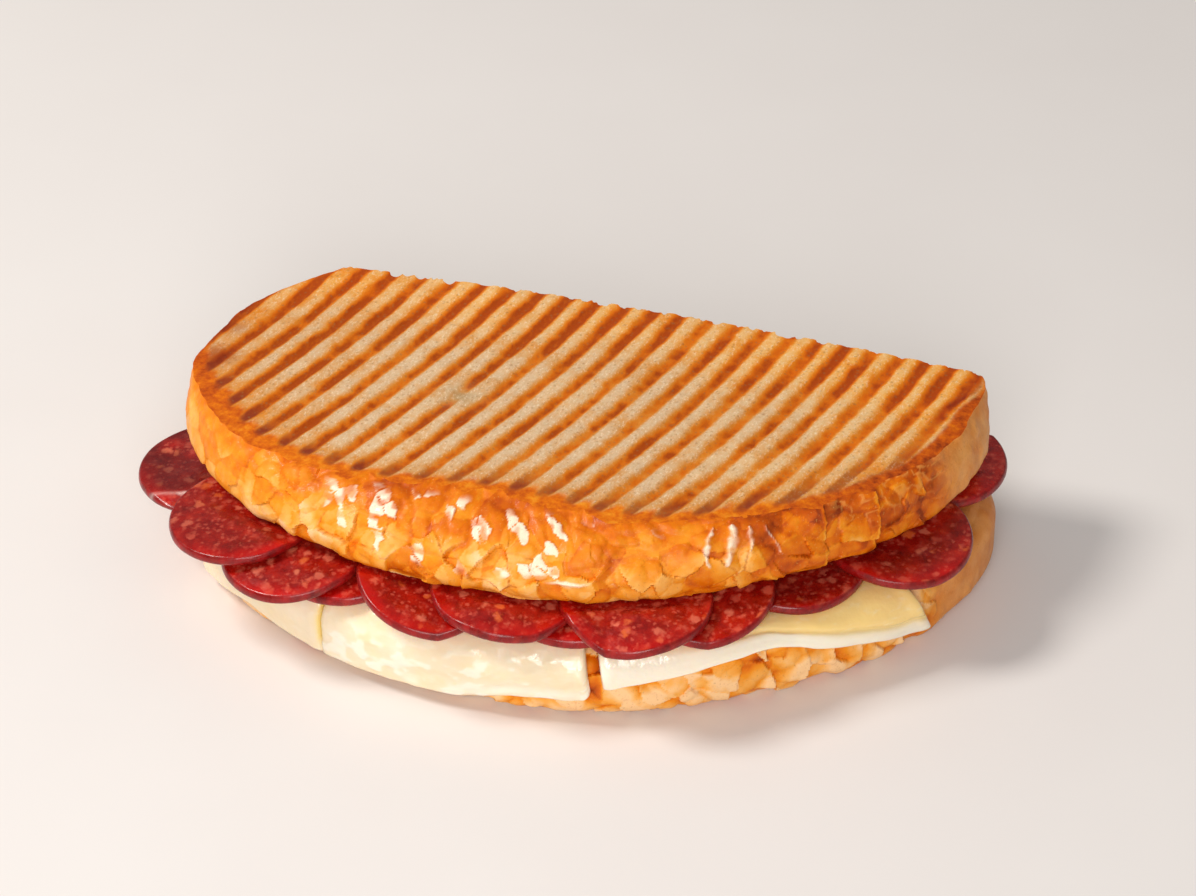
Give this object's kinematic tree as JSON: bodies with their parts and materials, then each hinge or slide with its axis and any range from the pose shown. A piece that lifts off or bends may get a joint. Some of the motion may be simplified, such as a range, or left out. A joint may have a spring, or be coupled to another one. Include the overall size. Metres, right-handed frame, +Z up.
{
  "type": "half sausage and cheese toastie",
  "caption": "Half of a pressed sausage and cheese toastie on oval bread: grill-marked slices, cheese draped over the front rim, shingled sausage slices, flat cut face.",
  "frame": {"origin": "under the middle of the whole, on the surface it rests on", "axes": "+X along the cut face, from the obtuse corner to the square one; +Y out of the cut face; +Z up"},
  "size_m": [0.2182, 0.1164, 0.05],
  "materials": {
    "bread": "toasted crust, golden brown, with brown press marks and pale crumb where cut",
    "cheese": "melted, pale cream, soft sheen",
    "sausage": "cured red meat with pink fat flecks, oily gloss"
  },
  "bodies": {
    "root": {"bread_bottom": "bread", "bread_top": "bread", "cheese_left": "cheese", "cheese_middle": "cheese", "cheese_right": "cheese", "sausage_01": "sausage", "sausage_02": "sausage", "sausage_03": "sausage", "sausage_04": "sausage", "sausage_05": "sausage", "sausage_06": "sausage", "sausage_07": "sausage", "sausage_08": "sausage", "sausage_09": "sausage", "sausage_10": "sausage", "sausage_11": "sausage", "sausage_12": "sausage", "sausage_13": "sausage", "sausage_14": "sausage", "sausage_15": "sausage", "sausage_16": "sausage", "sausage_17": "sausage", "sausage_18": "sausage", "sausage_19": "sausage", "sausage_20": "sausage", "sausage_21": "sausage", "sausage_22": "sausage"}
  },
  "joints": []
}
